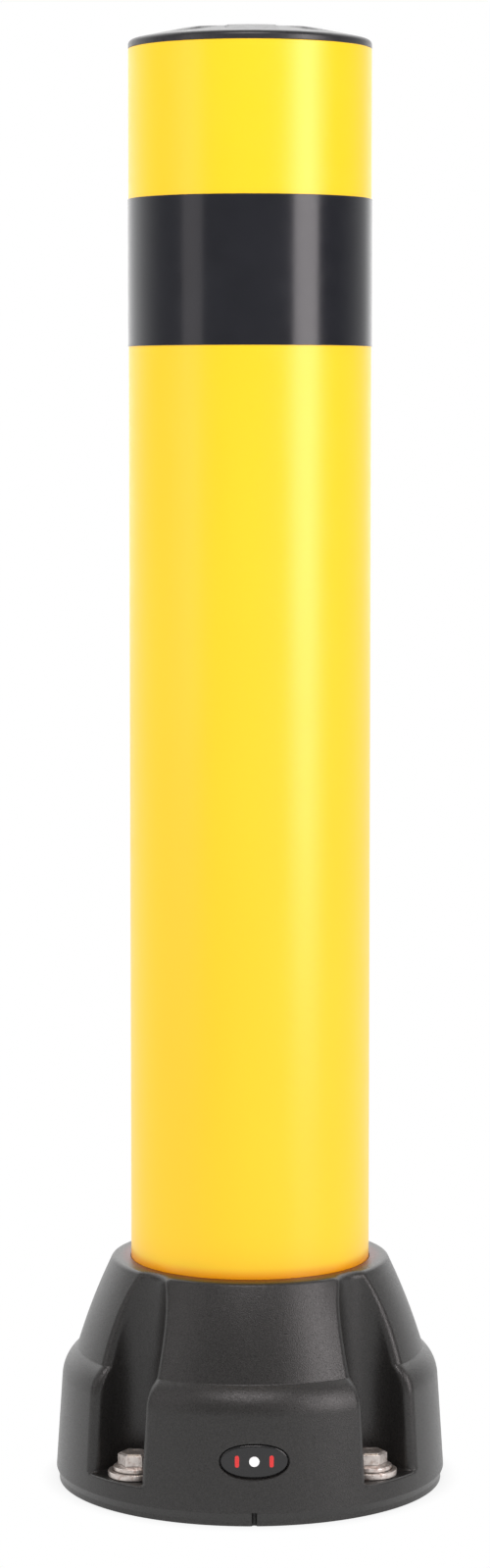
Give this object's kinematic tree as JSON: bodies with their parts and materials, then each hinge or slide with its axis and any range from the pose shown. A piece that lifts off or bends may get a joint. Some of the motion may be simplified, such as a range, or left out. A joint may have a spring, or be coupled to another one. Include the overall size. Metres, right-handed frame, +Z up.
{
  "type": "plastic safety bollard",
  "caption": "Round yellow plastic post with a dark band and a ribbed cap, set in a dark moulded foot with deep pockets for its floor anchors.",
  "frame": {"origin": "on the floor, at the middle of the foot's underside", "axes": "+Z up along the post; the badge in the foot faces -Y"},
  "size_m": [0.327, 0.327, 1.2085],
  "materials": {
    "foot_plastic": "fine moulded grain, dark grey",
    "post_plastic": "satin, signal yellow",
    "band_film": "dark grey film with a soft sheen",
    "cap_plastic": "satin dark grey",
    "badge_plastic": "satin dark grey with a plain red and white mark",
    "zinc_steel": "dull zinc plating"
  },
  "bodies": {
    "root": {"foot": "foot_plastic", "post_tube": "post_plastic", "band_sleeve": "band_film", "top_cap": "cap_plastic", "badge_insert": "badge_plastic", "washer_front_left": "zinc_steel", "washer_front_right": "zinc_steel", "washer_rear_right": "zinc_steel", "washer_rear_left": "zinc_steel", "anchor_front_left": "zinc_steel", "anchor_front_right": "zinc_steel", "anchor_rear_right": "zinc_steel", "anchor_rear_left": "zinc_steel"}
  },
  "joints": []
}
